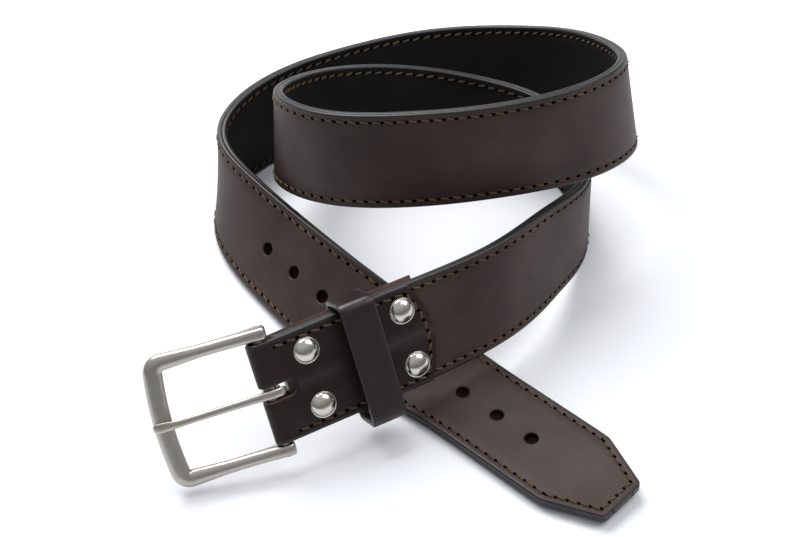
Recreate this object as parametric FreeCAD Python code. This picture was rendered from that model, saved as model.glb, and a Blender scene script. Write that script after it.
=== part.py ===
import FreeCAD, Part
import math
import os

# Gentlemen's leather belt, coiled and resting on its edge, with its buckle end lying over its tip end.
# Millimetres, +Z up. Every strap piece follows one route, which runs from the tip to the buckle fold.
# A point of the strap is named by (u, v, h): u along the belt from the tip's blunt end, v across the
# width from the centre line (towards the stitched edge that stands uppermost), h out of the outer face.

V = FreeCAD.Vector

# Strap
STRAP_WIDTH = 40.0
OUTER_T = 2.1
LINING_T = 1.9
TIP_RUN = 55.0            # straight run from the tip's end to the first station
CHAPE_RUN = 56.0          # straight run from the last station to the end of the fold
TIP_END_WIDTH = 21.0
TIP_SHOULDER = 22.5
SEAM_INSET = 3.0
THREAD_W = 0.8
THREAD_T = 0.3
THREAD_LIFT = 0.03        # clearance between a thread and the leather that it lies on

# Adjustment holes
HOLE_R = 2.5
HOLE_COUNT = 9
HOLE_FIRST = 43.8
HOLE_PITCH = 17.4

# Chape
LEAF_T = 1.4
LEAF_LENGTH = 71.0        # from the end of the fold to the crown of the curved end
LEAF_CROWN = 6.0
BACK_LEAF_LENGTH = 69.0
BACK_LEAF_RISE = 1.2
SLOT_W = 5.8
SLOT_LENGTH = 13.0
STRAP_END_GAP = 10.5      # from the end of the fold to the strap's cut end

# Heel bar, frame and prong
BAR_R = 1.95
BAR_FIT = 0.05
FRAME_LENGTH = 44.8       # from the bar's axis to the outside of the far side
FRAME_WIDTH = 51.8
FRAME_SECTION_W = 5.6
FRAME_SECTION_T = 4.6
FRAME_CORNER_R = 5.2
FRAME_BOW = 1.8
FRAME_EYE_R = 3.4
FRAME_EYE_W = 5.2
FRAME_TILT = 10.0         # degrees that the far side hangs towards the lining at rest
FRAME_SKEW = 2.8          # degrees that the frame is turned in the fold, towards the upper edge
BAR_SETBACK = 1.05        # slack that the fold leaves between its round end and the bar
PRONG_W = 3.4
PRONG_T = 2.4
PRONG_EYE_W = 4.6
PRONG_EYE_R = 3.7
PRONG_TAIL = 5.4          # from the bar's axis to the end of the wrapped tail
PRONG_TAIL_T = 1.3
PRONG_REST_GAP = 0.4

# Screw posts and back screws
POST_COLUMNS = (20.8, 60.4)
POST_SIDE = 11.1
POST_R = 2.4
POST_BORE_R = 1.75
DOME_R = 5.1
DOME_H = 2.3
DOME_RIM = 0.6
SCREW_R = 1.7
SCREW_HEAD_R = 4.2
SCREW_HEAD_H = 1.3
SCREW_SLOT_W = 1.0
SCREW_SLOT_DEPTH = 0.5
SEAT_DEPTH = 0.03         # how far the heads are pressed into the leaves

# Keeper loop
KEEPER_CENTRE = 42.3
KEEPER_W = 14.0
KEEPER_T = 1.8
KEEPER_FIT = 0.5
KEEPER_FRONT_GAP = 5.0
KEEPER_HANG = 4.2
KEEPER_CORNER_R = 3.0
STAPLE_WIRE = 0.8

# Route of the strap's centre line: x, y, z and the angle that the width leans back from upright, in
# degrees. The stations lie about 38 mm apart. A leather strap keeps to the curve without stretching.
ROUTE = [
    (37.9, -83.5, 3.55, 87.0),
    (9.9, -59.0, 5.25, 81.0),
    (-20.6, -38.5, 14.15, 52.0),
    (-47.6, -10.5, 17.85, 35.0),
    (-70.1, 19.0, 19.45, 23.0),
    (-79.1, 51.5, 20.35, 1.0),
    (-59.6, 84.5, 20.35, -11.0),
    (-24.6, 106.0, 19.85, -20.0),
    (13.4, 119.0, 19.75, -22.0),
    (52.4, 114.0, 24.85, -20.0),
    (78.9, 88.0, 39.55, -6.0),
    (90.4, 49.5, 57.05, 11.0),
    (72.4, 17.5, 67.05, 17.0),
    (37.4, 3.0, 68.05, 13.0),
    (-1.1, 0.5, 65.05, 14.0),
    (-35.6, 9.5, 59.55, 11.0),
    (-53.6, 39.0, 47.55, 2.0),
    (-36.6, 70.0, 33.55, -14.0),
    (-4.6, 85.0, 24.65, -17.0),
    (32.9, 83.5, 20.65, -8.0),
    (64.9, 64.0, 20.35, 0.0),
    (73.4, 23.0, 20.75, 2.0),
    (56.9, -11.5, 27.65, 12.0),
    (33.4, -41.0, 32.55, 21.0),
    (-5.1, -65.0, 31.45, 29.0),
]
CURVE_STEP = 8.0          # spacing of the points that a strap edge is interpolated through
EDGE_STEPS = 6            # points from one break in a strap edge to the next
TABLE_STEPS = 40          # divisions of each span when its length is measured


def spline_bends(rows):
    """Second derivatives of the natural cubic spline through evenly numbered rows."""
    count = len(rows)
    width = len(rows[0])
    bends = [[0.0] * width for _ in rows]
    for column in range(width):
        pivot = [0.0] * count
        load = [0.0] * count
        for i in range(1, count - 1):
            jump = rows[i - 1][column] - 2.0 * rows[i][column] + rows[i + 1][column]
            scale = 4.0 - pivot[i - 1]
            pivot[i] = 1.0 / scale
            load[i] = (6.0 * jump - load[i - 1]) / scale
        for i in range(count - 2, 0, -1):
            bends[i][column] = load[i] - pivot[i] * bends[i + 1][column]
    return bends


BENDS = spline_bends(ROUTE)


def spline_at(t):
    """Value and rate of x, y, z and lean at station number t, which may lie between stations."""
    i = min(int(t), len(ROUTE) - 2)
    b = t - i
    a = 1.0 - b
    value = []
    rate = []
    for p, q, m, n in zip(ROUTE[i], ROUTE[i + 1], BENDS[i], BENDS[i + 1]):
        value.append(a * p + b * q + ((a ** 3 - a) * m + (b ** 3 - b) * n) / 6.0)
        rate.append(q - p + ((1.0 - 3.0 * a * a) * m + (3.0 * b * b - 1.0) * n) / 6.0)
    return value, rate


def length_table():
    """Station numbers and the curve's length up to each of them."""
    steps = (len(ROUTE) - 1) * TABLE_STEPS
    table = [(0.0, 0.0)]
    last = V(*spline_at(0.0)[0][:3])
    total = 0.0
    for k in range(1, steps + 1):
        t = k / TABLE_STEPS
        point = V(*spline_at(t)[0][:3])
        total += point.distanceToPoint(last)
        table.append((t, total))
        last = point
    return table


TABLE = length_table()
LENGTH = TIP_RUN + TABLE[-1][1] + CHAPE_RUN


def pose(u):
    """Centre point, direction, width direction and outward normal of the strap at u."""
    along = u - TIP_RUN
    inside = min(max(along, 0.0), TABLE[-1][1])
    low = 0
    high = len(TABLE) - 1
    while high - low > 1:
        middle = (low + high) // 2
        if TABLE[middle][1] <= inside:
            low = middle
        else:
            high = middle
    span = TABLE[high][1] - TABLE[low][1]
    t = TABLE[low][0] + (TABLE[high][0] - TABLE[low][0]) * (inside - TABLE[low][1]) / span
    value, rate = spline_at(t)
    direction = V(*rate[:3]).normalize()
    centre = V(*value[:3]) + direction * (along - inside)
    upright = V(0, 0, 1) - direction * direction.z
    upright.normalize()
    outward = upright.cross(direction)
    lean = math.radians(value[3])
    width = upright * math.cos(lean) - outward * math.sin(lean)
    return centre, direction, width, width.cross(direction)


def at(u, v, h):
    """Point of the strap in the object's frame."""
    centre, _, width, normal = pose(u)
    return centre + width * v + normal * h


def local(u):
    """Placement at u: X along the belt, Y towards the lower edge, Z out of the outer face."""
    centre, direction, width, normal = pose(u)
    turn = FreeCAD.Rotation(direction, width * -1.0, normal, "XYZ")
    return FreeCAD.Placement(centre, turn)


def placed(shape, u):
    """A shape drawn in the strap's local frame, set at u."""
    copy = shape.copy()
    copy.Placement = local(u).multiply(copy.Placement)
    return copy


def strap_edges(u0, u1, v, h, drift):
    """Edge of a strap piece from u0 to u1, in short lengths. It starts drift further across than v."""
    count = max(int(math.ceil((u1 - u0) / CURVE_STEP)), 2)
    stops = [u0 + (u1 - u0) * k / count for k in range(count + 1)]
    across = [v + drift * (u1 - u) / (u1 - u0) for u in stops]
    curve = Part.BSplineCurve()
    curve.interpolate(Points=[at(u, w, h) for u, w in zip(stops, across)], Parameters=stops)
    edges = []
    for k in range(0, count, EDGE_STEPS):
        piece = curve.copy()
        piece.segment(stops[k], stops[min(k + EDGE_STEPS, count)])
        edges.append(piece.toShape())
    return edges


def ribbon(u0, u1, v0, v1, h0, h1, drift=0.0):
    """Solid that follows the route: a rectangle v0..v1 by h0..h1, from u0 to u1."""
    corners = [(v0, h0), (v1, h0), (v1, h1), (v0, h1)]
    runs = [strap_edges(u0, u1, v, h, drift) for v, h in corners]
    faces = []
    for k in range(4):
        for first, second in zip(runs[k], runs[(k + 1) % 4]):
            faces.append(Part.makeRuledSurface(first, second, 1))
    for u, aside in ((u0, drift), (u1, 0.0)):
        ring = [at(u, v + aside, h) for v, h in corners]
        faces.append(Part.Face(Part.makePolygon(ring + ring[:1])))
    skin = Part.makeCompound(faces)
    skin.sewShape()
    solid = Part.Solid(skin.Shells[0])
    if solid.Volume < 0:
        solid.reverse()
    return solid


def prism(points, h0, h1):
    """Straight prism over a flat outline of (x, y) points."""
    ring = [V(x, y, h0) for x, y in points]
    return Part.Face(Part.makePolygon(ring + ring[:1])).extrude(V(0, 0, h1 - h0))


def drill(u, v, radius):
    """Cutter for a round hole along the outer face's normal at (u, v)."""
    reach = 12.0
    return placed(Part.makeCylinder(radius, 2 * reach, V(0, -v, -reach)), u)


def tip_cutters():
    """The two wedges that leave the slanting sides of the tip."""
    half = STRAP_WIDTH / 2
    slack = 3.0
    slope = (half - TIP_END_WIDTH / 2) / TIP_SHOULDER
    beyond = half + slack * slope
    upper = [(-slack, TIP_END_WIDTH / 2 - slack * slope), (TIP_SHOULDER + slack, beyond), (-slack, beyond)]
    lower = [(x, -y) for x, y in reversed(upper)]
    return [placed(prism(outline, -10, 10), 0.0) for outline in (upper, lower)]


def hole_stations():
    """Distance of each adjustment hole from the tip's end."""
    return [HOLE_FIRST + HOLE_PITCH * k for k in range(HOLE_COUNT)]


def post_places():
    """(u, v) of each screw post, buckle side first."""
    return [(LENGTH - column, side * POST_SIDE) for column in POST_COLUMNS for side in (1, -1)]


def head_seats():
    """Room for the heads of the posts and back screws where the leaves follow the curve."""
    seats = []
    for u, v in post_places():
        over = Part.makeCylinder(DOME_R + BAR_FIT, 5.0, V(0, -v, STACK_TOP - SEAT_DEPTH))
        under = Part.makeCylinder(SCREW_HEAD_R + BAR_FIT, 5.0, V(0, -v, STACK_BOTTOM + SEAT_DEPTH - 5.0))
        seats += [placed(over, u), placed(under, u)]
    return seats


def strap_layer(h0, h1):
    """One full-width layer of the strap, with its tip, adjustment holes and post holes."""
    half = STRAP_WIDTH / 2
    layer = ribbon(0.0, LENGTH - STRAP_END_GAP, -half, half, h0, h1)
    holes = [drill(u, 0.0, HOLE_R) for u in hole_stations()]
    holes += [drill(u, v, POST_R + BAR_FIT) for u, v in post_places()]
    return layer.cut(tip_cutters() + holes)


def seam_run(side, u0, u1, faces):
    """Thread along one edge, lying on each listed face height."""
    middle = side * (STRAP_WIDTH / 2 - SEAM_INSET)
    runs = []
    for h in faces:
        low = h + THREAD_LIFT if h > 0 else h - THREAD_LIFT - THREAD_T
        runs.append(ribbon(u0, u1, middle - THREAD_W / 2, middle + THREAD_W / 2, low, low + THREAD_T))
    return Part.makeCompound(runs)


def tip_seam():
    """Thread round the blunt point of the tip, on both faces."""
    half = STRAP_WIDTH / 2 - SEAM_INSET
    slope = (STRAP_WIDTH - TIP_END_WIDTH) / 2 / TIP_SHOULDER
    end = TIP_END_WIDTH / 2 + slope * SEAM_INSET - SEAM_INSET * math.hypot(1.0, slope)
    outer = [(SEAM_START, half), (SEAM_INSET, end), (SEAM_INSET, -end), (SEAM_START, -half)]
    bars = []
    for (x0, y0), (x1, y1) in zip(outer, outer[1:]):
        length = math.hypot(x1 - x0, y1 - y0) - THREAD_W
        turn = math.degrees(math.atan2(y1 - y0, x1 - x0))
        for low in (OUTER_T + THREAD_LIFT, -LINING_T - THREAD_LIFT - THREAD_T):
            bar = Part.makeBox(length, THREAD_W, THREAD_T, V(THREAD_W / 2, -THREAD_W / 2, 0))
            bar.Placement = FreeCAD.Placement(V(x0, y0, low), FreeCAD.Rotation(V(0, 0, 1), turn))
            bars.append(placed(bar, 0.0))
    return Part.makeCompound(bars)


SEAM_START = TIP_SHOULDER + 1.0
STACK_TOP = OUTER_T + LEAF_T
STACK_BOTTOM = -LINING_T - LEAF_T
STACK_MIDDLE = (OUTER_T - LINING_T) / 2
FOLD_IN = (OUTER_T + LINING_T) / 2
FOLD_OUT = FOLD_IN + LEAF_T
FOLD_AXIS = LENGTH - FOLD_OUT
BAR_AXIS = FOLD_AXIS - BAR_SETBACK
SEAM_END = LENGTH - LEAF_LENGTH + 1.6


def curved_end_cutter(length):
    """Takes off what lies beyond the chape's curved end."""
    half = STRAP_WIDTH / 2
    radius = (half ** 2 + LEAF_CROWN ** 2) / (2 * LEAF_CROWN)
    block = Part.makeBox(30 + LEAF_CROWN, 60, 20, V(-30, -30, -10))
    disc = Part.makeCylinder(radius, 20, V(radius, 0, -10))
    return placed(block.cut(disc), LENGTH - length)


def prong_slot():
    """Round-ended slot through the fold and both leaves."""
    half = SLOT_W / 2
    block = Part.makeBox(SLOT_LENGTH, SLOT_W, 20, V(-SLOT_LENGTH + half, -half, -10))
    end = Part.makeCylinder(half, 20, V(-SLOT_LENGTH + half, 0, -10))
    return placed(block.fuse(end), LENGTH)


def fold():
    """Half ring of leather round the heel bar."""
    half = STRAP_WIDTH / 2
    outer = Part.makeCylinder(FOLD_OUT, 2 * half, V(0, -half, STACK_MIDDLE), V(0, 1, 0))
    inner = Part.makeCylinder(FOLD_IN, 2 * half, V(0, -half, STACK_MIDDLE), V(0, 1, 0))
    keep = Part.makeBox(20, 2 * half, 40, V(0, -half, -20))
    return placed(outer.cut(inner).common(keep), FOLD_AXIS)


def chape_leather():
    """Front leaf, fold and back leaf in one piece."""
    half = STRAP_WIDTH / 2
    front = ribbon(LENGTH - LEAF_LENGTH, FOLD_AXIS, -half, half, OUTER_T, STACK_TOP)
    front = front.cut(curved_end_cutter(LEAF_LENGTH))
    low, high = STACK_BOTTOM, -LINING_T
    back = ribbon(LENGTH - BACK_LEAF_LENGTH, FOLD_AXIS, -half, half, low, high, BACK_LEAF_RISE)
    holes = [drill(u, v, POST_R + BAR_FIT) for u, v in post_places()]
    return front.fuse([fold(), back]).cut([prong_slot()] + holes + head_seats())


def chape_seam():
    """Thread on the front leaf: both edges and the curved end."""
    half = STRAP_WIDTH / 2
    base = STACK_TOP + THREAD_LIFT
    top = base + THREAD_T
    side = half - SEAM_INSET
    start = LENGTH - LEAF_LENGTH + LEAF_CROWN + SEAM_INSET
    runs = []
    for sign in (1, -1):
        middle = sign * side
        low, high = middle - THREAD_W / 2, middle + THREAD_W / 2
        runs.append(ribbon(start, LENGTH - SLOT_LENGTH, low, high, base, top))
    radius = (half ** 2 + LEAF_CROWN ** 2) / (2 * LEAF_CROWN)
    band = ribbon(LENGTH - LEAF_LENGTH, start - 0.2, -side + THREAD_W, side - THREAD_W, base, top)
    outer = Part.makeCylinder(radius - SEAM_INSET + THREAD_W / 2, 20, V(radius, 0, -10))
    inner = Part.makeCylinder(radius - SEAM_INSET - THREAD_W / 2, 20, V(radius, 0, -10))
    runs.append(band.common(placed(outer.cut(inner), LENGTH - LEAF_LENGTH)))
    return Part.makeCompound(runs).cut(head_seats())


def bar_placement(tilt):
    """Frame of the heel bar: X towards the far side of the buckle, Y along the bar."""
    skew = FreeCAD.Placement(V(0, 0, STACK_MIDDLE), FreeCAD.Rotation(V(0, 0, 1), -FRAME_SKEW))
    turn = FreeCAD.Placement(V(), FreeCAD.Rotation(V(0, 1, 0), tilt))
    return local(BAR_AXIS).multiply(skew).multiply(turn)


def at_bar(shape, tilt=FRAME_TILT):
    """A shape drawn in the heel bar's frame, set in place."""
    copy = shape.copy()
    copy.Placement = bar_placement(tilt).multiply(copy.Placement)
    return copy


def buckle_path():
    """Centre line of the frame: arm, corner, bowed far side, corner, arm."""
    side = (FRAME_WIDTH - FRAME_SECTION_W) / 2
    far = FRAME_LENGTH - FRAME_SECTION_W / 2
    bow_r = (side ** 2 + FRAME_BOW ** 2) / (2 * FRAME_BOW)
    bow_x = far - bow_r
    corner_y = side - FRAME_CORNER_R
    corner_x = bow_x + math.sqrt((bow_r - FRAME_CORNER_R) ** 2 - corner_y ** 2)
    reach = math.atan2(corner_y, corner_x - bow_x)
    join = V(bow_x + bow_r * math.cos(reach), bow_r * math.sin(reach), 0)
    middle = (math.pi / 2 + reach) / 2
    elbow = V(corner_x + FRAME_CORNER_R * math.cos(middle), corner_y + FRAME_CORNER_R * math.sin(middle), 0)
    arm_end = V(0, side, 0)
    arm_turn = V(corner_x, side, 0)

    def flip(p):
        return V(p.x, -p.y, p.z)

    edges = [
        Part.LineSegment(arm_end, arm_turn).toShape(),
        Part.Arc(arm_turn, elbow, join).toShape(),
        Part.Arc(join, V(far, 0, 0), flip(join)).toShape(),
        Part.Arc(flip(join), flip(elbow), flip(arm_turn)).toShape(),
        Part.LineSegment(flip(arm_turn), flip(arm_end)).toShape(),
    ]
    return Part.Wire(edges)


def buckle_frame():
    """Cast frame with an eye at the end of each arm for the heel bar."""
    side = (FRAME_WIDTH - FRAME_SECTION_W) / 2
    broad = V(0, side + FRAME_SECTION_W / 2, 0)
    thin = V(0, side, FRAME_SECTION_T / 2)
    section = Part.Wire(Part.Ellipse(broad, thin, V(0, side, 0)).toShape())
    frame = buckle_path().makePipeShell([section], True, False)
    for sign in (1, -1):
        base = V(0, sign * side - FRAME_EYE_W / 2, 0)
        eye = Part.makeCylinder(FRAME_EYE_R, FRAME_EYE_W, base, V(0, 1, 0))
        frame = frame.fuse(eye)
    bore = Part.makeCylinder(BAR_R, FRAME_WIDTH + 2, V(0, -FRAME_WIDTH / 2 - 1, 0), V(0, 1, 0))
    return at_bar(frame.cut(bore).removeSplitter())


def heel_bar():
    """Round bar pressed into both eyes of the frame."""
    length = FRAME_WIDTH - 0.6
    return at_bar(Part.makeCylinder(BAR_R, length, V(0, -length / 2, 0), V(0, 1, 0)))


def buckle_prong():
    """Prong: an eye and its tail round the bar, and a tapering shank that rests over the far side."""
    half = PRONG_EYE_W / 2
    eye = Part.makeCylinder(PRONG_EYE_R, PRONG_EYE_W, V(0, -half, 0), V(0, 1, 0))
    bore = Part.makeCylinder(BAR_R + BAR_FIT, 20, V(0, -10, 0), V(0, 1, 0))
    rest = FRAME_SECTION_T / 2 + PRONG_REST_GAP
    root = PRONG_EYE_R - PRONG_T
    reach = FRAME_LENGTH - 0.8
    top = [(reach - 3.0, rest + PRONG_T), (0.0, PRONG_EYE_R)]
    base = [(0.0, root + 0.2), (reach - 9.0, rest), (reach, rest)]
    profile = [V(x, -PRONG_W / 2, z) for x, z in base + [(reach, rest + 1.0)] + top]
    shank = Part.Face(Part.makePolygon(profile + profile[:1])).extrude(V(0, PRONG_W, 0))
    tail = Part.makeBox(PRONG_TAIL, PRONG_W, PRONG_TAIL_T, V(-PRONG_TAIL, -PRONG_W / 2, 0.5))
    prong = eye.fuse([shank, tail]).cut(bore)
    return at_bar(prong.removeSplitter())


def screw_post(u, v):
    """Domed head on the front leaf with a barrel down through the stack."""
    rise = DOME_H - DOME_RIM
    radius = (DOME_R ** 2 + rise ** 2) / (2 * rise)
    disc = Part.makeCylinder(DOME_R, DOME_H, V(0, 0, STACK_TOP))
    ball = Part.makeSphere(radius, V(0, 0, STACK_TOP + DOME_H - radius))
    foot = STACK_BOTTOM + 0.4
    barrel = Part.makeCylinder(POST_R, STACK_TOP + 0.2 - foot, V(0, 0, foot))
    bore = Part.makeCylinder(POST_BORE_R, STACK_TOP - 0.6 - foot, V(0, 0, foot))
    post = disc.common(ball).fuse(barrel).cut(bore)
    post.translate(V(0, -v, 0))
    return placed(post, u)


def back_screw(u, v):
    """Slotted screw: a flat head against the back leaf and a stem inside the post's barrel."""
    seat = STACK_BOTTOM
    head = Part.makeCylinder(SCREW_HEAD_R, SCREW_HEAD_H, V(0, 0, seat - SCREW_HEAD_H))
    stem = Part.makeCylinder(SCREW_R, STACK_TOP - seat - 1.4, V(0, 0, seat))
    slot = Part.makeBox(2 * SCREW_HEAD_R, SCREW_SLOT_W, SCREW_SLOT_DEPTH)
    slot.translate(V(-SCREW_HEAD_R, -SCREW_SLOT_W / 2, seat - SCREW_HEAD_H))
    screw = head.fuse(stem).cut(slot)
    screw.translate(V(0, -v, 0))
    return placed(screw, u)


def keeper_ring(grow):
    """Outline box of the keeper's inside, let out by grow on every side, with rounded corners."""
    low_y = -STRAP_WIDTH / 2 - BACK_LEAF_RISE - KEEPER_FIT - grow
    high_y = STRAP_WIDTH / 2 + KEEPER_HANG + grow
    low_z = STACK_BOTTOM - KEEPER_FIT - grow
    high_z = STACK_TOP + KEEPER_FRONT_GAP + grow
    block = Part.makeBox(KEEPER_W, high_y - low_y, high_z - low_z, V(-KEEPER_W / 2, low_y, low_z))
    sides = [e for e in block.Edges if abs(e.tangentAt(e.FirstParameter).x) > 0.9]
    return block.makeFillet(KEEPER_CORNER_R - KEEPER_T + grow, sides)


def keeper_loop():
    """Leather ring that stands clear of the front leaf, so the strap's tip can pass under it."""
    return placed(keeper_ring(KEEPER_T).cut(keeper_ring(0.0)), LENGTH - KEEPER_CENTRE)


def keeper_staple():
    """Wire staple on the outside of the keeper's back, across the butt of its two ends."""
    back = STACK_BOTTOM - KEEPER_FIT - KEEPER_T
    wire = Part.makeBox(2 * STAPLE_WIRE, 8.0, STAPLE_WIRE / 2, V(-STAPLE_WIRE, -4.0, back - STAPLE_WIRE / 2))
    return placed(wire, LENGTH - KEEPER_CENTRE)


def write(name, shape):
    """One STEP file per sub-part."""
    if not shape.isValid():
        print("not valid:", name)
    shape.exportStep(os.path.join("parts", name + ".step"))
    box = shape.BoundBox
    sizes = (len(shape.Solids), shape.Volume, box.XMin, box.XMax, box.YMin, box.YMax, box.ZMin, box.ZMax)
    print(name, " ".join("%.1f" % size for size in sizes), flush=True)


def main():
    os.makedirs("parts", exist_ok=True)
    faces = (OUTER_T, -LINING_T)
    write("strap_outer_leather", strap_layer(0.0, OUTER_T))
    write("strap_lining", strap_layer(-LINING_T, 0.0))
    write("strap_seam_upper", seam_run(1, SEAM_START, SEAM_END, faces))
    write("strap_seam_lower", seam_run(-1, SEAM_START, SEAM_END, faces))
    write("strap_seam_tip", tip_seam())
    write("chape_leather", chape_leather())
    write("chape_seam", chape_seam())
    for number, (u, v) in enumerate(post_places(), 1):
        write("screw_post_%d" % number, screw_post(u, v))
        write("back_screw_%d" % number, back_screw(u, v))
    write("keeper_loop", keeper_loop())
    write("keeper_staple", keeper_staple())
    write("buckle_frame", buckle_frame())
    write("buckle_heel_bar", heel_bar())
    write("buckle_prong", buckle_prong())


if __name__ == "__main__":
    main()
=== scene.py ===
import math
import random

import bmesh
import bpy
from mathutils import Matrix, Vector


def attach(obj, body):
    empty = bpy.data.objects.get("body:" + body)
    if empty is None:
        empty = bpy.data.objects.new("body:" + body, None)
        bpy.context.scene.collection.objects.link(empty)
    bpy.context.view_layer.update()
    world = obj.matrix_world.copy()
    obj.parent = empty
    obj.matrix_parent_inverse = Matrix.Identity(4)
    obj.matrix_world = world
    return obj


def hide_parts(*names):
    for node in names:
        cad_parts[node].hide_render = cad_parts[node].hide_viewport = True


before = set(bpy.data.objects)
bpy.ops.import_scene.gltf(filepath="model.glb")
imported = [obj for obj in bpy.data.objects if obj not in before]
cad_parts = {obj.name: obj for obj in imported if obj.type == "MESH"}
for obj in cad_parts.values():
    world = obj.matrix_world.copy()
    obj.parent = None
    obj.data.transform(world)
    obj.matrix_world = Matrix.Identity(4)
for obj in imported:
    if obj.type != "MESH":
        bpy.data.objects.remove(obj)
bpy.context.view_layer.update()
MM = 0.001

# Leather belt, coiled on its edge. Lengths below are millimetres and become metres in point() and in_bar().
# u runs along the belt from the tip, v across it towards the stitched upper edge, h out of the outer face.

# Strap
HALF = 20.0
OUTER_T = 2.1
LINING_T = 1.9
TIP_RUN = 55.0
CHAPE_RUN = 56.0
TIP_END_HALF = 10.5
TIP_SHOULDER = 22.5
TIP_CORNER_R = 1.6
SHOULDER_EASE = 0.24      # how softly the shoulder turns into the full width
SHOULDER_REACH = 4.0      # no easing where the taper would be this much wider than the strap
STRAP_END_GAP = 10.5
SEAM_INSET = 3.0
STITCH_PITCH = 4.74
STITCH_LENGTH = 3.35
THREAD_R = 0.46
HOLE_R = 2.5
LINING_HOLE_R = 0.3       # drawn nearly closed, and not open as in the CAD: no light shows through, and its near-black funnel is painted shade in the hole
HOLE_FIRST = 43.8
HOLE_PITCH = 17.4
HOLE_COUNT = 9
HOLE_BLOCK = 6.0          # half the side of the square of mesh round each hole

# Chape, keeper and screws
LEAF_T = 1.4
LEAF_LENGTH = 71.0
BACK_LEAF_LENGTH = 69.0
BACK_LEAF_RISE = 1.2
LEAF_CROWN = 6.0
SLOT_HALF = 2.9
SLOT_LENGTH = 13.0
STACK_TOP = OUTER_T + LEAF_T
STACK_BOTTOM = -LINING_T - LEAF_T
STACK_MIDDLE = (OUTER_T - LINING_T) / 2
FOLD_R = (OUTER_T + LINING_T) / 2 + LEAF_T
BAR_SETBACK = 1.05
POST_COLUMNS = (20.8, 60.4)
POST_SIDE = 11.1
KEEPER_CENTRE = 42.3
KEEPER_HALF_W = 7.0
KEEPER_T = 1.8
KEEPER_FIT = 0.5
KEEPER_FRONT_GAP = 5.0
KEEPER_HANG = 4.2
KEEPER_CORNER = 3.0

# Buckle
FRAME_LENGTH = 43.9
FRAME_HALF = 25.9
FRAME_SECTION_W = 5.6
ARM_HALF = 2.45
FAR_SIDE_EXTRA = 1.15      # how much broader than that, on each face, the far side is
FRAME_SECTION_T = 4.6
FRAME_CORNER_R = 4.0
FRAME_BOW = 1.8
FRAME_TILT = 10.0
FRAME_SKEW = 2.8

# Route of the strap's centre line: x, y, z and the lean of the width in degrees. These stations were fitted
# to the photograph by another program.
ROUTE = [
    (37.9, -83.5, 3.55, 87.0),
    (9.9, -59.0, 5.25, 81.0),
    (-20.6, -38.5, 14.15, 52.0),
    (-47.6, -10.5, 17.85, 35.0),
    (-70.1, 19.0, 19.45, 23.0),
    (-79.1, 51.5, 20.35, 1.0),
    (-59.6, 84.5, 20.35, -11.0),
    (-24.6, 106.0, 19.85, -20.0),
    (13.4, 119.0, 19.75, -22.0),
    (52.4, 114.0, 24.85, -20.0),
    (78.9, 88.0, 39.55, -6.0),
    (90.4, 49.5, 57.05, 11.0),
    (72.4, 17.5, 67.05, 17.0),
    (37.4, 3.0, 68.05, 13.0),
    (-1.1, 0.5, 65.05, 14.0),
    (-35.6, 9.5, 59.55, 11.0),
    (-53.6, 39.0, 47.55, 2.0),
    (-36.6, 70.0, 33.55, -14.0),
    (-4.6, 85.0, 24.65, -17.0),
    (32.9, 83.5, 20.65, -8.0),
    (64.9, 64.0, 20.35, 0.0),
    (73.4, 23.0, 20.75, 2.0),
    (56.9, -11.5, 27.65, 12.0),
    (33.4, -41.0, 32.55, 21.0),
    (-5.1, -65.0, 31.45, 29.0),
]
TABLE_STEPS = 40


def spline_bends(rows):
    """Second derivatives of the natural cubic spline through evenly numbered rows."""
    count = len(rows)
    width = len(rows[0])
    bends = [[0.0] * width for _ in rows]
    for column in range(width):
        pivot = [0.0] * count
        load = [0.0] * count
        for i in range(1, count - 1):
            jump = rows[i - 1][column] - 2.0 * rows[i][column] + rows[i + 1][column]
            scale = 4.0 - pivot[i - 1]
            pivot[i] = 1.0 / scale
            load[i] = (6.0 * jump - load[i - 1]) / scale
        for i in range(count - 2, 0, -1):
            bends[i][column] = load[i] - pivot[i] * bends[i + 1][column]
    return bends


BENDS = spline_bends(ROUTE)


def spline_at(t):
    """Value and rate of x, y, z and lean at station number t."""
    i = min(int(t), len(ROUTE) - 2)
    b = t - i
    a = 1.0 - b
    value = []
    rate = []
    for p, q, m, n in zip(ROUTE[i], ROUTE[i + 1], BENDS[i], BENDS[i + 1]):
        value.append(a * p + b * q + ((a ** 3 - a) * m + (b ** 3 - b) * n) / 6.0)
        rate.append(q - p + ((1.0 - 3.0 * a * a) * m + (3.0 * b * b - 1.0) * n) / 6.0)
    return value, rate


def length_table():
    """Station numbers and the curve's length up to each of them."""
    table = [(0.0, 0.0)]
    last = Vector(spline_at(0.0)[0][:3])
    total = 0.0
    for k in range(1, (len(ROUTE) - 1) * TABLE_STEPS + 1):
        place = Vector(spline_at(k / TABLE_STEPS)[0][:3])
        total += (place - last).length
        table.append((k / TABLE_STEPS, total))
        last = place
    return table


TABLE = length_table()
LENGTH = TIP_RUN + TABLE[-1][1] + CHAPE_RUN
FOLD_AXIS = LENGTH - FOLD_R
STRAP_END = LENGTH - STRAP_END_GAP
POSES = {}


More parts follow.
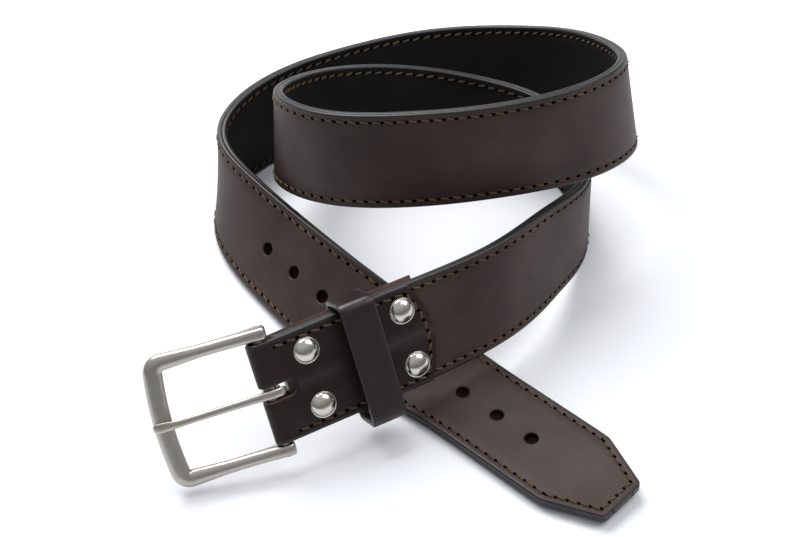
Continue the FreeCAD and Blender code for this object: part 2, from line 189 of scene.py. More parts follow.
def pose(u):
    """Centre point, direction, width direction and outward normal of the strap at u."""
    key = round(u, 4)
    if key in POSES:
        return POSES[key]
    along = u - TIP_RUN
    inside = min(max(along, 0.0), TABLE[-1][1])
    low = 0
    high = len(TABLE) - 1
    while high - low > 1:
        middle = (low + high) // 2
        if TABLE[middle][1] <= inside:
            low = middle
        else:
            high = middle
    span = TABLE[high][1] - TABLE[low][1]
    t = TABLE[low][0] + (TABLE[high][0] - TABLE[low][0]) * (inside - TABLE[low][1]) / span
    value, rate = spline_at(t)
    direction = Vector(rate[:3]).normalized()
    centre = Vector(value[:3]) + direction * (along - inside)
    upright = (Vector((0, 0, 1)) - direction * direction.z).normalized()
    outward = upright.cross(direction)
    lean = math.radians(value[3])
    width = upright * math.cos(lean) - outward * math.sin(lean)
    POSES[key] = (centre, direction, width, width.cross(direction))
    return POSES[key]


def point(u, v, h):
    """Point of the strap, in metres."""
    centre, _, width, normal = pose(u)
    return (centre + width * v + normal * h) * MM


def new_mesh(name, verts, faces, materials, body, marks=None):
    """Mesh object that rides on a body. marks gives each face's material number."""
    mesh = bpy.data.meshes.new(name)
    mesh.from_pydata([tuple(p) for p in verts], [], faces)
    for material in materials:
        mesh.materials.append(material)
    mesh.polygons.foreach_set("use_smooth", [True] * len(faces))
    if marks:
        mesh.polygons.foreach_set("material_index", marks)
    mesh.validate()
    mesh.update()
    thing = bpy.data.objects.new(name, mesh)
    bpy.context.scene.collection.objects.link(thing)
    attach(thing, body)
    return thing


def weld(thing, gap=0.00001):
    """Joins vertices that lie on each other and turns the faces outward."""
    work = bmesh.new()
    work.from_mesh(thing.data)
    bmesh.ops.remove_doubles(work, verts=work.verts, dist=gap)
    bmesh.ops.recalc_face_normals(work, faces=work.faces)
    work.to_mesh(thing.data)
    work.free()
    return thing


def spread(low, high, step):
    """Evenly spaced numbers from low to high, no further apart than step, without the last."""
    count = max(int(math.ceil((high - low) / step)), 1)
    return [low + (high - low) * k / count for k in range(count)]


# Materials

def shader(name, base, roughness, metallic=0.0):
    """New material with its Principled shader, ready for more nodes."""
    material = bpy.data.materials.new(name)
    material.use_nodes = True
    tree = material.node_tree
    surface = tree.nodes["Principled BSDF"]
    surface.inputs["Base Color"].default_value = (*base, 1.0)
    surface.inputs["Roughness"].default_value = roughness
    surface.inputs["Metallic"].default_value = metallic
    return material, tree, surface


def noise(tree, scale, detail=4.0, stretch=None):
    """Noise over the object's own space, in bumps per metre."""
    coords = tree.nodes.new("ShaderNodeTexCoord")
    source = coords.outputs["Object"]
    if stretch:
        mapping = tree.nodes.new("ShaderNodeMapping")
        mapping.inputs["Scale"].default_value = stretch
        tree.links.new(source, mapping.inputs["Vector"])
        source = mapping.outputs["Vector"]
    texture = tree.nodes.new("ShaderNodeTexNoise")
    texture.inputs["Scale"].default_value = scale
    texture.inputs["Detail"].default_value = detail
    tree.links.new(source, texture.inputs["Vector"])
    return texture.outputs["Fac"]


def ramp(tree, source, low, high, colours):
    """Blend of two colours between two values of the source."""
    node = tree.nodes.new("ShaderNodeValToRGB")
    node.color_ramp.elements[0].position = low
    node.color_ramp.elements[1].position = high
    for element, colour in zip(node.color_ramp.elements, colours):
        element.color = (*colour, 1.0)
    tree.links.new(source, node.inputs["Fac"])
    return node.outputs["Color"]


def remap(tree, source, low, high):
    """Source from 0..1 to low..high."""
    node = tree.nodes.new("ShaderNodeMapRange")
    node.inputs["To Min"].default_value = low
    node.inputs["To Max"].default_value = high
    tree.links.new(source, node.inputs["Value"])
    return node.outputs["Result"]


def bump(tree, surface, layers):
    """Chains bump nodes for (source, strength, height in metres)."""
    last = None
    for source, strength, height in layers:
        node = tree.nodes.new("ShaderNodeBump")
        node.inputs["Strength"].default_value = strength
        node.inputs["Distance"].default_value = height
        tree.links.new(source, node.inputs["Height"])
        if last:
            tree.links.new(last, node.inputs["Normal"])
        last = node.outputs["Normal"]
    tree.links.new(last, surface.inputs["Normal"])


def pores(tree, scale):
    """Small cells of leather grain."""
    coords = tree.nodes.new("ShaderNodeTexCoord")
    cells = tree.nodes.new("ShaderNodeTexVoronoi")
    cells.inputs["Scale"].default_value = scale
    tree.links.new(coords.outputs["Object"], cells.inputs["Vector"])
    return cells.outputs["Distance"]


def leather(name, dark, light, rough=(0.42, 0.6), grain=1500.0, gloss=0.4):
    """Smooth full-grain leather with soft mottling, wear streaks and fine pores."""
    material, tree, surface = shader(name, dark, rough[0])
    mottle = noise(tree, 38.0, 6.0)
    tree.links.new(ramp(tree, mottle, 0.36, 0.68, (dark, light)), surface.inputs["Base Color"])
    tree.links.new(remap(tree, noise(tree, 120.0, 5.0), rough[0], rough[1]), surface.inputs["Roughness"])
    surface.inputs["Specular IOR Level"].default_value = gloss
    creases = noise(tree, 260.0, 8.0, (1.0, 1.0, 2.2))
    bump(tree, surface, [(creases, 0.35, 0.00025), (pores(tree, grain), 0.3, 0.00008)])
    return material


def metal(name, colour, rough, scratch=0.0):
    """Nickel plate: polished or satin, with faint handling marks."""
    material, tree, surface = shader(name, colour, rough, 1.0)
    spread_of = noise(tree, 300.0, 6.0)
    tree.links.new(remap(tree, spread_of, rough * 0.7, rough * 1.35), surface.inputs["Roughness"])
    if scratch:
        bump(tree, surface, [(noise(tree, 900.0, 8.0, (1.0, 0.25, 1.0)), scratch, 0.00005)])
    return material


OUTER = leather(
    "outer_leather_face", (0.029, 0.0160, 0.0130), (0.053, 0.032, 0.0265), (0.46, 0.6), 1500.0, 0.3,
)
LINING = leather(
    "lining_leather_face", (0.005, 0.004, 0.004), (0.010, 0.008, 0.0075), (0.55, 0.75), 1100.0, 0.15,
)
CHAPE = leather(
    "chape_leather_face", (0.0125, 0.0058, 0.0052), (0.021, 0.0098, 0.0088), (0.38, 0.5), 1700.0, 0.27,
)
EDGE = leather("painted_edge", (0.007, 0.006, 0.006), (0.014, 0.012, 0.012), (0.3, 0.48), 900.0, 0.5)
RAW = leather("raw_flesh_edge", (0.050, 0.029, 0.023), (0.095, 0.057, 0.046), (0.8, 0.95), 700.0, 0.1)
CUT = leather("fresh_cut_edge", (0.085, 0.055, 0.035), (0.15, 0.105, 0.070), (0.7, 0.9), 700.0, 0.2)
KEEPER_FACE = leather(
    "keeper_face", (0.0115, 0.0052, 0.0047), (0.020, 0.0088, 0.0080), (0.30, 0.40), 1700.0, 0.5,
)
THREAD = leather("waxed_thread", (0.060, 0.036, 0.017), (0.125, 0.078, 0.040), (0.5, 0.75), 2600.0, 0.25)
# Hole walls and the nearly closed lining in each hole: near black, painted shade inside the punched holes.
HOLE_SHADE = leather("hole_wall_painted_shade", (0.007, 0.0038, 0.003), (0.014, 0.008, 0.006), (0.85, 0.95), 800.0, 0.05)
# Needle holes: near black and shineless, laid on as flat discs, so their darkness is painted shade.
NEEDLE_HOLE_SHADE = shader("needle_hole_painted_shade", (0.003, 0.0025, 0.0025), 1.0)[0]
NEEDLE_HOLE_SHADE.node_tree.nodes["Principled BSDF"].inputs["Specular IOR Level"].default_value = 0.0
POLISHED = metal("polished_nickel_cap", (0.60, 0.565, 0.50), 0.2)
SATIN = metal("satin_nickel_buckle", (0.47, 0.44, 0.395), 0.33, 0.12)


# Strap

def half_width(u):
    """Half the strap's width at u, with its corners eased at the blunt end and the shoulders."""
    slope = (HALF - TIP_END_HALF) / TIP_SHOULDER
    width = TIP_END_HALF + slope * u
    if u < TIP_CORNER_R:
        width -= TIP_CORNER_R - math.sqrt(max(TIP_CORNER_R ** 2 - (TIP_CORNER_R - u) ** 2, 0.0))
    gap = HALF - width
    if gap <= -SHOULDER_REACH:
        return HALF
    return HALF - (gap + math.sqrt(gap * gap + SHOULDER_EASE)) / 2


def across_at(u, v):
    """Place across the strap at u of a column that lies at v where the strap has its full width."""
    wide = half_width(u)
    if abs(v) > FLAT[0]:
        return math.copysign(max(wide - (HALF - abs(v)), 0.0), v)
    if u > TIP_SHOULDER + SHOULDER_REACH:
        return v
    return v * min(wide / HALF, 1.0)


def hole_places():
    return [HOLE_FIRST + HOLE_PITCH * k for k in range(HOLE_COUNT)]


def strap_rows():
    """Distances along the strap of its rows of mesh, with a fine even block at every hole."""
    rows = [0.0, 0.12, 0.35, 0.7, 1.1, 1.6, 2.2, 3.0, 3.5, 4.2]
    rows += spread(5.0, TIP_SHOULDER - 3, 1.5) + spread(TIP_SHOULDER - 3, TIP_SHOULDER + 3, 0.75)
    rows += spread(TIP_SHOULDER + 3, HOLE_FIRST - HOLE_BLOCK, 1.5)
    for place in hole_places():
        rows += spread(place - HOLE_BLOCK, place + HOLE_BLOCK, HOLE_BLOCK / 4)
        rows += spread(place + HOLE_BLOCK, place + HOLE_PITCH - HOLE_BLOCK, 1.8)
    rows += spread(hole_places()[-1] + HOLE_PITCH - HOLE_BLOCK, STRAP_END, 2.4)
    return rows + [STRAP_END]


CREASE = ((17.7, 0.0), (17.3, 0.14), (16.7, 0.14), (16.3, 0.0))     # stitch channel: place and depth
FLAT = (13.0, 9.0, 6.0, 4.5, 3.0, 1.5, 0.0)


def face_columns(round_r):
    """(v at full width, depth) across a face, from the upper edge's rounding to the lower one's."""
    upper = [(HALF - round_r, 0.0)] + list(CREASE) + [(v, 0.0) for v in FLAT]
    return upper + [(-v, d) for v, d in reversed(upper[:-1])]


def end_ease(u, thick, round_r):
    """How far a face drops at the blunt end, where the edge is rounded over."""
    if u >= round_r:
        return 0.0
    return min(round_r - math.sqrt(max(round_r ** 2 - (round_r - u) ** 2, 0.0)), thick / 2)


def strap_layer(name, inner_h, face_h, round_r, face_paint, hole_r):
    """One layer: its open face with holes and a rounded painted edge all round, left open on its hidden side.
    """
    outward = 1.0 if face_h > inner_h else -1.0
    thick = abs(face_h - inner_h)
    rows = strap_rows()
    columns = face_columns(round_r)
    verts = []
    faces = []
    marks = []
    grid = {}

    def add(p):
        verts.append(p)
        return len(verts) - 1

    def vert(u, v, drop):
        height = face_h - outward * (drop + end_ease(u, thick, round_r))
        return add(point(u, across_at(u, v), height))

    for i, u in enumerate(rows):
        for j, (v, depth) in enumerate(columns):
            grid[i, j] = vert(u, v, depth if u > 2 else 0.0)
    middle = len(columns) // 2
    blocks = set()
    for place in hole_places():
        i0 = min(range(len(rows)), key=lambda i: abs(rows[i] - (place - HOLE_BLOCK)))
        for i in range(i0, i0 + 8):
            for j in range(middle - 4, middle + 4):
                blocks.add((i, j))
        hole_mesh(grid, i0, middle - 4, place, (face_h, inner_h, outward, hole_r), add, faces, marks)
    for i in range(len(rows) - 1):
        for j in range(len(columns) - 1):
            if (i, j) not in blocks:
                faces.append((grid[i, j], grid[i, j + 1], grid[i + 1, j + 1], grid[i + 1, j]))
                marks.append(0)
    rims(rows, columns, grid, face_h, inner_h, outward, round_r, add, faces, marks)
    thing = new_mesh(name, verts, faces, [face_paint, EDGE, HOLE_SHADE], "strap", marks)
    return weld(thing)


def hole_mesh(grid, i0, j0, place, layer, add, faces, marks):
    """Fills a square block of the grid round a punched hole and sinks the hole's bevelled wall, coloured near
    black as painted shade.
    """
    face_h, inner_h, outward, hole_r = layer
    ring = [(i0 + k, j0) for k in range(8)] + [(i0 + 8, j0 + k) for k in range(8)]
    ring += [(i0 + 8 - k, j0 + 8) for k in range(8)] + [(i0, j0 + 8 - k) for k in range(8)]
    last = [grid[key] for key in ring]
    corners = []
    for i, j in ring:
        x = -HOLE_BLOCK + 1.5 * (i - i0)
        y = HOLE_BLOCK - 1.5 * (j - j0)
        corners.append((x, y))
    steps = [(0.45, hole_r + 1.5, 0.0, 0), (0.9, hole_r + 0.95, 0.0, 0), (1.0, hole_r + 0.75, 0.03, 0)]
    steps += [(1.0, hole_r + 0.5, 0.12, 0), (1.0, hole_r + 0.22, 0.32, 0), (1.0, hole_r, 0.7, 2)]
    steps += [(1.0, hole_r, abs(face_h - inner_h), 2)]
    if hole_r < HOLE_R:
        steps.append((1.0, HOLE_R + 0.6, abs(face_h - inner_h), 2))
    for share, radius, drop, mark in steps:
        now = []
        for x, y in corners:
            reach = math.hypot(x, y)
            cx = x / reach * radius
            cy = y / reach * radius
            if share < 1.0:
                cx = cx * share + x * (1 - share) * 0.72
                cy = cy * share + y * (1 - share) * 0.72
            now.append(add(point(place + cx, cy, face_h - outward * drop)))
        for k in range(len(ring)):
            n = (k + 1) % len(ring)
            faces.append((last[k], last[n], now[n], now[k]))
            marks.append(mark)
        last = now


def rims(rows, columns, grid, face_h, inner_h, outward, round_r, add, faces, marks):
    """Rounded edges along both sides and across both ends, down to the hidden side."""
    thick = abs(face_h - inner_h)
    angles = [math.pi / 8 * k for k in range(1, 5)]
    arc = [(round_r * math.sin(a), round_r * (1 - math.cos(a))) for a in angles]
    arc += [(round_r, thick - 0.25), (round_r - 0.12, thick)]

    def strip(start, places):
        last = start
        for reach, drop in arc:
            now = [add(p) for p in places(reach, drop)]
            for k in range(len(start) - 1):
                faces.append((last[k], last[k + 1], now[k + 1], now[k]))
                marks.append(1)
            last = now

    last_j = len(columns) - 1
    for j, sign in ((0, 1.0), (last_j, -1.0)):
        def side(reach, drop, sign=sign):
            made = []
            for u in rows:
                across = sign * (half_width(u) - round_r + reach)
                sink = max(drop, min(end_ease(u, thick, round_r), thick))
                made.append(point(u, across, face_h - outward * sink))
            return made
        strip([grid[i, j] for i in range(len(rows))], side)
    for i in (0, len(rows) - 1):
        def end(reach, drop, u=rows[i]):
            made = []
            for v, _ in columns:
                across = across_at(u, v)
                if abs(HALF - abs(v) - round_r) < 0.001:
                    across = math.copysign(half_width(u) - round_r + reach, v)
                sink = max(drop, end_ease(u, thick, round_r))
                made.append(point(u, across, face_h - outward * min(sink, thick)))
            return made
        strip([grid[i, j] for j in range(len(columns))], end)


# Stitching

def stitch_run(verts, faces, place, stops, turn=0.42):
    """Separate slanted stitches between needle holes along a path of (a, b) points on a surface."""
    sides = 6
    rings = 7
    for (a0, b0), (a1, b1) in stops:
        start = len(verts)
        along_a = a1 - a0
        along_b = b1 - b0
        run = math.hypot(along_a, along_b)
        wobble = random.uniform(-0.05, 0.05)
        slant = turn * (1 + wobble * 4)
        for r in range(rings):
            t = r / (rings - 1)
            off = (t - 0.5) * 2 * slant
            a = a0 + along_a * t - along_b / run * off
            b = b0 + along_b * t + along_a / run * off
            fade = math.sqrt(max(1 - (2 * t - 1) ** 4, 0.0))
            lift = -0.18 + 0.34 * fade
            centre = place(a, b, lift)
            ahead = (place(a + along_a / run * 0.1, b + along_b / run * 0.1, lift) - centre).normalized()
            up = (place(a, b, lift + 0.1) - centre).normalized()
            cross = ahead.cross(up)
            radius = THREAD_R * (0.62 + 0.38 * fade) * MM * (1 + wobble)
            for s in range(sides):
                angle = 2 * math.pi * (s + 0.5 * r) / sides
                verts.append(centre + cross * math.cos(angle) * radius * 1.12 + up * math.sin(angle) * radius)
        for r in range(rings - 1):
            for s in range(sides):
                n = (s + 1) % sides
                base = start + r * sides
                faces.append((base + s, base + n, base + sides + n, base + sides + s))
        faces.append(tuple(start + s for s in range(sides)))
        faces.append(tuple(start + (rings - 1) * sides + s for s in range(sides)))


def needle_shade_discs(verts, faces, place, spots):
    """Flat near-black discs without shine at the needle holes: painted shade in place of the holes' dark
    insides.
    """
    sides = 8
    for a, b in spots:
        start = len(verts)
        for s in range(sides):
            angle = 2 * math.pi * s / sides
            verts.append(place(a + 0.8 * math.cos(angle), b + 0.68 * math.sin(angle), 0.17))
        faces.append(tuple(range(start, start + sides)))


def seam(name, nodes, body, jobs):
    """One object of stitches and the painted shade discs at their needle holes. jobs holds (surface function,
    list of stitches).
    """
    verts = []
    faces = []
    for place, stops in jobs:
        stitch_run(verts, faces, place, stops)
    threads = len(faces)
    for place, stops in jobs:
        gaps = [stops[0][0], stops[-1][1]]
        for (_, first), (second, _) in zip(stops, stops[1:]):
            gaps.append(((first[0] + second[0]) / 2, (first[1] + second[1]) / 2))
        needle_shade_discs(verts, faces, place, gaps)
    marks = [0] * threads + [1] * (len(faces) - threads)
    thing = new_mesh(name, verts, faces, [THREAD, NEEDLE_HOLE_SHADE], body, marks)
    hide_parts(*nodes)
    return thing


def along(path):
    """Cuts a path of (a, b) corners into stitches of even pitch."""
    made = []
    for (a0, b0), (a1, b1) in zip(path, path[1:]):
        run = math.hypot(a1 - a0, b1 - b0)
        count = max(int(round(run / STITCH_PITCH)), 1)
        gap = (1 - STITCH_LENGTH / STITCH_PITCH) / 2
        for k in range(count):
            t0 = (k + gap) / count
            t1 = (k + 1 - gap) / count
            first = (a0 + (a1 - a0) * t0, b0 + (b1 - b0) * t0)
            made.append((first, (a0 + (a1 - a0) * t1, b0 + (b1 - b0) * t1)))
    return made


def on_outer(u, v, lift):
    return point(u, v, OUTER_T - 0.14 + lift)


def on_lining(u, v, lift):
    return point(u, v, -LINING_T + 0.14 - lift)


# Chape

def wrap(s, v, depth):
    """Point of the chape: s runs outside it, from the front leaf's crown round the fold to the back leaf."""
    front = LEAF_LENGTH - FOLD_R
    bend = math.pi * FOLD_R
    back = BACK_LEAF_LENGTH - FOLD_R
    if s <= front:
        return point(LENGTH - LEAF_LENGTH + s, v, STACK_TOP - depth)
    if s < front + bend:
        angle = (s - front) / FOLD_R
        radius = FOLD_R - depth
        return point(FOLD_AXIS + radius * math.sin(angle), v, STACK_MIDDLE + radius * math.cos(angle))
    left = s - front - bend
    return point(FOLD_AXIS - left, v + BACK_LEAF_RISE * left / back, STACK_BOTTOM + depth)


FRONT_END = LEAF_LENGTH - FOLD_R
BACK_START = FRONT_END + math.pi * FOLD_R
CHAPE_END = BACK_START + BACK_LEAF_LENGTH - FOLD_R
ARC_R = (HALF ** 2 + LEAF_CROWN ** 2) / (2 * LEAF_CROWN)
SLOT_A = LEAF_LENGTH - SLOT_LENGTH
SLOT_B = CHAPE_END - (BACK_LEAF_LENGTH - SLOT_LENGTH)
LEAF_FACE = ((6.0, 0.0), (12.0, 0.0), (16.3, 0.0), (16.7, 0.1), (17.3, 0.1), (17.7, 0.0), (18.7, 0.0))


def arc_shift(s, v):
    """How much later the front leaf starts away from its crown, fading out along it."""
    fade = max(1.0 - s / 24.0, 0.0)
    return (ARC_R - math.sqrt(ARC_R ** 2 - v * v)) * fade


def slot_half(s):
    """Half the prong slot's width at s, round at both ends."""
    depth = min(s - SLOT_A, SLOT_B - s)
    if depth <= 0:
        return 0.0
    if depth >= SLOT_HALF:
        return SLOT_HALF
    return math.sqrt(SLOT_HALF ** 2 - (SLOT_HALF - depth) ** 2)


def chape_rows():
    rows = [0.0, 0.15, 0.4, 0.8] + spread(1.3, SLOT_A, 1.6)
    rows += [SLOT_A + d for d in (0.0, 0.03, 0.12, 0.3, 0.6, 1.0, 1.5, 2.1, 2.9)]
    rows += spread(SLOT_A + 3.6, FRONT_END, 1.2) + spread(FRONT_END, BACK_START, 0.55)
    rows += spread(BACK_START, SLOT_B - 3.2, 1.2)
    rows += [SLOT_B - d for d in (2.9, 2.1, 1.5, 1.0, 0.6, 0.3, 0.12, 0.03, 0.0)]
    rows += spread(SLOT_B + 1.2, CHAPE_END, 2.0) + [CHAPE_END]
    return rows


def chape_leather():
    """Two mirrored halves that meet on the centre line and part round the prong slot."""
    verts = []
    faces = []
    marks = []
    rim = 0.55
    rows = chape_rows()
    for sign in (1.0, -1.0):
        sections = []
        for s in rows:
            gap = slot_half(s)
            inner = min(gap, 0.4)
            ease = rim - math.sqrt(max(rim ** 2 - (rim - s) ** 2, 0.0)) if s < rim else 0.0
            loop = [(gap, LEAF_T - 0.02), (gap, inner), (gap + inner * 0.3, inner * 0.3), (gap + inner, 0.0)]
            for v, d in LEAF_FACE:
                loop.append((max(v, gap + inner), d if s < FRONT_END - 4 else 0.0))
            loop += [(HALF - rim, 0.0), (HALF - rim * 0.3, rim * 0.3), (HALF, rim), (HALF, LEAF_T - 0.02)]
            ring = []
            for v, d in loop:
                shifted = s + arc_shift(s, v)
                verts.append(wrap(shifted, sign * v, min(max(d, ease), LEAF_T - 0.02)))
                ring.append(len(verts) - 1)
            sections.append(ring)
        for i in range(len(sections) - 1):
            a = sections[i]
            b = sections[i + 1]
            raw = rows[i] > BACK_START + 4
            for k in range(len(a)):
                n = (k + 1) % len(a)
                edge = k in (10, 11, 12, 13)
                cut = k in (0, 1, 2) and slot_half(rows[i + 1]) > 0
                hidden = k == len(a) - 1
                faces.append((a[k], a[n], b[n], b[k]))
                mark = 1 if edge else 0
                if raw and (edge or hidden):
                    mark = 2
                if cut:
                    mark = 3
                marks.append(mark)
        for ring, mark in ((sections[0], 1), (sections[-1], 2)):
            faces.append(tuple(ring))
            marks.append(mark)
    thing = weld(new_mesh("chape_body", verts, faces, [CHAPE, EDGE, RAW, CUT], "strap", marks))
    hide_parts("chape_leather")


def chape_stitches():
    """Stitches down both sides of the front leaf and round its curved end."""
    side = HALF - SEAM_INSET
    reach = ARC_R - SEAM_INSET
    turn = math.asin(side / reach)
    count = int(round(2 * turn * reach / STITCH_PITCH))
    path = []
    for k in range(count + 1):
        angle = -turn + 2 * turn * k / count
        path.append((ARC_R - reach * math.cos(angle), reach * math.sin(angle)))
    start = path[0][0]
    end = LEAF_LENGTH - SLOT_LENGTH + 4

    def place(s, v, lift):
        return wrap(s, v, 0.12 - lift)

    jobs = [(place, along([(start, sign * side), (end, sign * side)])) for sign in (1.0, -1.0)]
    jobs.append((place, along(path)))
    seam("chape_stitching", ["chape_seam"], "strap", jobs)


# Keeper

def keeper_path():
    """Closed outline of the keeper's outside in (v, h), with rounded corners."""
    low_v = -HALF - KEEPER_HANG - KEEPER_T
    high_v = HALF + BACK_LEAF_RISE + KEEPER_FIT + KEEPER_T
    low_h = STACK_BOTTOM - KEEPER_FIT - KEEPER_T
    high_h = STACK_TOP + KEEPER_FRONT_GAP + KEEPER_T
    r = KEEPER_CORNER
    path = []
    corners = [(high_v - r, high_h - r, 90), (low_v + r, high_h - r, 180), (low_v + r, low_h + r, 270)]
    corners.append((high_v - r, low_h + r, 0))
    for v, h, last in corners:
        for k in range(7):
            angle = math.radians(last - 90 + 90 * k / 6)
            path.append((v + r * math.cos(angle), h + r * math.sin(angle), angle))
    made = []
    for k, here in enumerate(path):
        made.append(here)
        there = path[(k + 1) % len(path)]
        gap = math.hypot(there[0] - here[0], there[1] - here[1])
        if gap > 3:
            steps = int(gap / 2)
            for m in range(1, steps):
                t = m / steps
                made.append((here[0] + (there[0] - here[0]) * t, here[1] + (there[1] - here[1]) * t, here[2]))
    return made


def keeper():
    """Leather ring with rounded edges and a slight crown."""
    centre = LENGTH - KEEPER_CENTRE
    w = KEEPER_HALF_W
    section = [(-w + 0.6, 0.0), (-w / 2, -0.05), (0.0, -0.07), (w / 2, -0.05), (w - 0.6, 0.0)]
    section += [(w - 0.2, 0.15), (w, 0.55), (w, KEEPER_T - 0.35), (w - 0.25, KEEPER_T), (-w + 0.25, KEEPER_T)]
    section += [(-w, KEEPER_T - 0.35), (-w, 0.55), (-w + 0.2, 0.15)]
    verts = []
    faces = []
    path = keeper_path()
    for v, h, angle in path:
        for x, d in section:
            verts.append(point(centre + x, v - d * math.cos(angle), h - d * math.sin(angle)))
    n = len(section)
    for i in range(len(path)):
        j = (i + 1) % len(path)
        for k in range(n):
            m = (k + 1) % n
            faces.append((i * n + k, i * n + m, j * n + m, j * n + k))
    thing = weld(new_mesh("keeper_ring", verts, faces, [KEEPER_FACE], "keeper"))
    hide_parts("keeper_loop")


# Screw posts

def cap(number, u, v):
    """Polished dome on a thin flange, standing on the front leaf, with its barrel."""
    outline = [(0.01, 2.35), (0.9, 2.32), (1.8, 2.2), (2.7, 1.95), (3.5, 1.55), (4.15, 1.05), (4.5, 0.62)]
    outline += [(4.62, 0.4), (4.72, 0.34), (4.98, 0.42), (5.1, 0.34), (5.15, 0.18), (5.12, 0.0)]
    outline += [(2.4, -0.02), (2.4, -6.0), (0.01, -6.0)]
    around = 48
    verts = []
    faces = []
    centre, direction, width, normal = pose(u)
    base = centre + width * v + normal * STACK_TOP
    for r, z in outline:
        for k in range(around):
            angle = 2 * math.pi * k / around
            flat = direction * math.cos(angle) + width * math.sin(angle)
            verts.append((base + flat * r + normal * z) * MM)
    for i in range(len(outline) - 1):
        for k in range(around):
            n = (k + 1) % around
            faces.append((i * around + k, i * around + n, (i + 1) * around + n, (i + 1) * around + k))
    thing = weld(new_mesh("dome_cap_%d" % number, verts, faces, [POLISHED], "strap"), 0.000001)
    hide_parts("screw_post_%d" % number)


# Buckle

def bar_frame():
    """Origin and axes of the heel bar: towards the far side, along the bar, and out."""
    centre, direction, width, normal = pose(LENGTH - FOLD_R - BAR_SETBACK)
    skew = Matrix.Rotation(math.radians(-FRAME_SKEW), 3, "Z")
    tilt = Matrix.Rotation(math.radians(FRAME_TILT), 3, "Y")
    strap_axes = Matrix((direction, -width, normal)).transposed()
    return centre + normal * STACK_MIDDLE, strap_axes @ skew @ tilt


BAR_ORIGIN, BAR_AXES = bar_frame()


def in_bar(x, y, z):
    """Point drawn in the heel bar's frame, in metres."""
    return (BAR_ORIGIN + BAR_AXES @ Vector((x, y, z))) * MM


def loft(name, sections, materials, body, closed=False):
    """Skin over rings of points, with flat ends unless it closes on itself."""
    count = len(sections[0])
    verts = [p for ring in sections for p in ring]
    faces = []
    last = len(sections) if closed else len(sections) - 1
    for i in range(last):
        j = (i + 1) % len(sections)
        for k in range(count):
            n = (k + 1) % count
            faces.append((i * count + k, i * count + n, j * count + n, j * count + k))
    if not closed:
        faces.append(tuple(range(count)))
        faces.append(tuple((len(sections) - 1) * count + k for k in range(count)))
    return weld(new_mesh(name, verts, faces, materials, body), 0.000001)


def rounded(half_a, half_b, power, count=28):
    """Outline of a rounded rectangle as a superellipse of (a, b) points."""
    made = []
    for k in range(count):
        angle = 2 * math.pi * k / count
        c = math.cos(angle)
        s = math.sin(angle)
        a = math.copysign(abs(c) ** (2 / power), c) * half_a
        b = math.copysign(abs(s) ** (2 / power), s) * half_b
        made.append((a, b))
    return made


def frame_line():
    """Centre line of the buckle frame in its own plane: (x, y, heading)."""
    side = FRAME_HALF - FRAME_SECTION_W / 2
    far = FRAME_LENGTH - FRAME_SECTION_W / 2
    bow_r = (side ** 2 + FRAME_BOW ** 2) / (2 * FRAME_BOW)
    bow_x = far - bow_r
    corner_y = side - FRAME_CORNER_R
    corner_x = bow_x + math.sqrt((bow_r - FRAME_CORNER_R) ** 2 - corner_y ** 2)
    reach = math.atan2(corner_y, corner_x - bow_x)
    line = []
    for x in (-3.4, -3.32, -3.1, -2.7, -2.1, -1.4, -0.6, 0.4, 1.3, 2.1, 2.8, 3.4, 4.2, 5.5, 8.0, 14.0, 22.0):
        line.append((x, side, 0.0))
    for k in range(11):
        angle = math.pi / 2 + (reach - math.pi / 2) * k / 10
        x = corner_x + FRAME_CORNER_R * math.cos(angle)
        line.append((x, corner_y + FRAME_CORNER_R * math.sin(angle), angle - math.pi / 2))
    for k in range(1, 10):
        angle = reach * (1 - k / 10)
        line.append((bow_x + bow_r * math.cos(angle), bow_r * math.sin(angle), angle - math.pi / 2))
    line.append((far, 0.0, -math.pi / 2))
    mirrored = [(x, -y, -math.pi - turn) for x, y, turn in reversed(line[:-1])]
    return line + mirrored


def buckle():
    """Cast frame: a rounded section that swells into a squared eye at the end of each arm."""
    sections = []
    for x, y, turn in frame_line():
        eye = 2.95 * (1 - min(abs(min(x, 0.0)) / 3.4, 1.0) ** 3.2) ** (1 / 3.2)
        eye -= (2.95 - FRAME_SECTION_T / 2) * min(max(x / 14.0, 0.0), 1.0)
        tall = max(eye, 0.9)
        swell = min(max((9.0 - x) / 9.0, 0.0), 1.0)
        wide = ARM_HALF - (0.7 * (1 - (x + 3.4) / 0.7) if x < -2.7 else 0.0)
        ring = []
        wide += FAR_SIDE_EXTRA * min(max((x - 26.0) / 14.0, 0.0), 1.0)
        for a, b in rounded(wide, tall, 2.3 + 1.7 * swell):
            ring.append(in_bar(x - math.sin(turn) * a, y + math.cos(turn) * a, b))
        sections.append(ring)
    thing = loft("cast_frame", sections, [SATIN], "buckle")
    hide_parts("buckle_frame")


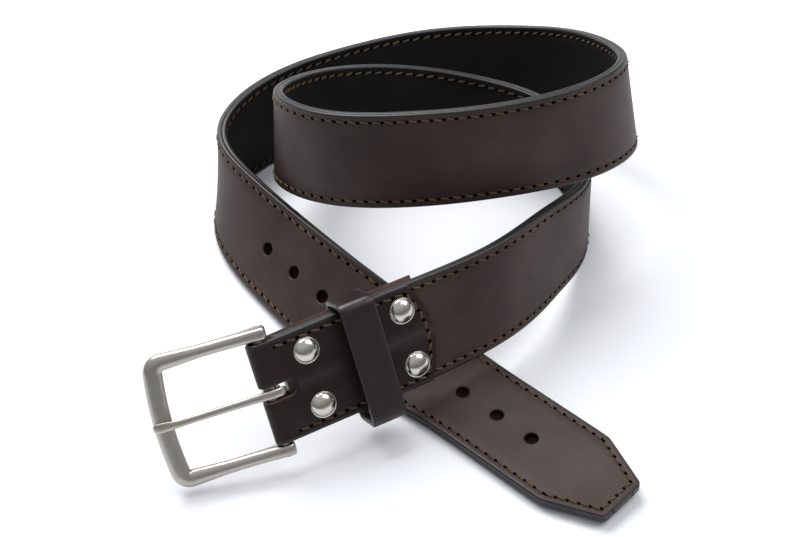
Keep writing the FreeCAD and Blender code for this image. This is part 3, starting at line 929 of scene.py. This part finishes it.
def prong():
    """Prong: an eye round the bar, a rounded shank and a flattened leaf that lies over the far side."""
    eye = []
    for k in range(40):
        angle = 2 * math.pi * k / 40
        ring = []
        for a, b in rounded(1.7, 0.82, 3.0, 16):
            radius = 2.85 + b
            ring.append(in_bar(radius * math.cos(angle), a, radius * math.sin(angle)))
        eye.append(ring)
    loop = loft("prong_eye", eye, [SATIN], "prong", closed=True)
    rest = FRAME_SECTION_T / 2 + 0.25
    shank = [(-5.4, 1.1, 0.7, 0.2), (-5.2, 1.15, 1.2, 0.42), (-4.7, 1.4, 1.6, 0.65)]
    shank += [(-3.4, 2.2, 1.75, 0.8), (-0.4, 3.0, 1.75, 0.85), (3.0, 2.85, 1.66, 1.0)]
    shank += [(7.0, 2.75, 1.56, 1.12), (14.0, 2.95, 1.46, 1.12), (22.0, 3.2, 1.4, 1.05)]
    shank += [(30.0, 3.6, 1.36, 0.98), (35.5, 3.95, 1.42, 0.88)]
    shank += [(38.0, rest + 1.2, 1.6, 0.74), (40.0, rest + 0.95, 1.85, 0.62)]
    shank += [(42.0, rest + 0.75, 1.95, 0.56), (43.6, rest + 0.5, 1.8, 0.5), (44.5, rest + 0.25, 1.45, 0.42)]
    shank += [(45.1, rest + 0.05, 0.85, 0.3)]
    sections = []
    for x, z, wide, thick in shank:
        sections.append([in_bar(x, a, z + b) for a, b in rounded(wide, thick, 2.6, 24)])
    thing = loft("prong_shank", sections, [SATIN], "prong")
    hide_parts("buckle_prong")


def finish_cad_nodes():
    """Materials for the CAD nodes that are shown as they are."""
    for name in ("buckle_heel_bar", "keeper_staple"):
        paint(name, SATIN)
    for number in range(1, 5):
        paint("back_screw_%d" % number, SATIN)


def paint(name, material):
    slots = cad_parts[name].data.materials
    slots.clear()
    slots.append(material)


def strap():
    """Both layers of the strap, and the stitching through them."""
    outer = strap_layer("strap_outer", 0.03, OUTER_T, 0.85, OUTER, HOLE_R)
    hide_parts("strap_outer_leather")
    lining = strap_layer("strap_inner", -0.03, -LINING_T, 0.75, LINING, LINING_HOLE_R)
    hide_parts("strap_lining")
    side = HALF - SEAM_INSET
    start = TIP_SHOULDER + 0.6
    end = LENGTH - LEAF_LENGTH + 4.5
    for edge, sign in (("upper", 1), ("lower", -1)):
        path = along([(start, sign * side), (end, sign * side)])
        back = along([(start, sign * side), (LENGTH - BACK_LEAF_LENGTH - 1, sign * side)])
        seam("stitching_" + edge, ["strap_seam_" + edge], "strap", [(on_outer, path), (on_lining, back)])
    slope = (HALF - TIP_END_HALF) / TIP_SHOULDER
    corner = TIP_END_HALF + slope * SEAM_INSET - SEAM_INSET * math.hypot(1.0, slope)
    path = along([(start, side), (SEAM_INSET, corner), (SEAM_INSET, -corner), (start, -side)])
    seam("stitching_tip", ["strap_seam_tip"], "strap", [(on_outer, path), (on_lining, path)])


def screws():
    number = 1
    for column in POST_COLUMNS:
        for sign in (1, -1):
            cap(number, LENGTH - column, sign * POST_SIDE)
            number += 1


# Studio

def studio():
    """Pale floor, soft light and a camera that looks down on the belt from the front."""
    material = shader("pale_floor", (0.81, 0.825, 0.86), 0.75)[0]
    bpy.ops.mesh.primitive_plane_add(size=8.0, location=(0, 0, 0))
    floor = bpy.context.object
    floor.name = "floor"
    floor.data.materials.append(material)
    world = bpy.data.worlds.new("studio")
    world.use_nodes = True
    sky = world.node_tree
    coords = sky.nodes.new("ShaderNodeTexCoord")
    split = sky.nodes.new("ShaderNodeSeparateXYZ")
    sky.links.new(coords.outputs["Generated"], split.inputs["Vector"])
    glow = ramp(sky, split.outputs["Z"], 0.15, 0.75, ((0.30, 0.31, 0.33), (0.95, 0.97, 1.0)))
    sky.links.new(glow, sky.nodes["Background"].inputs["Color"])
    sky.nodes["Background"].inputs["Strength"].default_value = 0.62
    bpy.context.scene.world = world
    aim = Vector((0.0, 0.0, 0.03))
    for name, place, size, power in (
        ("key", (-0.45, 0.65, 1.05), 0.9, 20.0),
        ("fill", (0.8, 0.1, 1.1), 0.9, 7.0),
    ):
        light = bpy.data.lights.new(name, "AREA")
        light.size = size
        light.energy = power
        lamp = bpy.data.objects.new(name, light)
        lamp.location = place
        lamp.rotation_euler = (aim - Vector(place)).to_track_quat("-Z", "Y").to_euler()
        bpy.context.scene.collection.objects.link(lamp)
    target = Vector((-0.0016, 0.0080, 0.0001))
    elevation = math.radians(43.0)
    distance = 0.729
    lens = bpy.data.cameras.new("camera")
    lens.lens = 77.3
    lens.sensor_width = 36.0
    lens.clip_start = 0.01
    camera = bpy.data.objects.new("camera", lens)
    camera.location = target + Vector((0, -math.cos(elevation), math.sin(elevation))) * distance
    camera.rotation_euler = (math.pi / 2 - elevation, 0, 0)
    bpy.context.scene.collection.objects.link(camera)
    bpy.context.scene.camera = camera
    bpy.context.scene.view_settings.view_transform = "Standard"


random.seed(7)
strap()
chape_leather()
chape_stitches()
keeper()
screws()
buckle()
prong()
finish_cad_nodes()
studio()
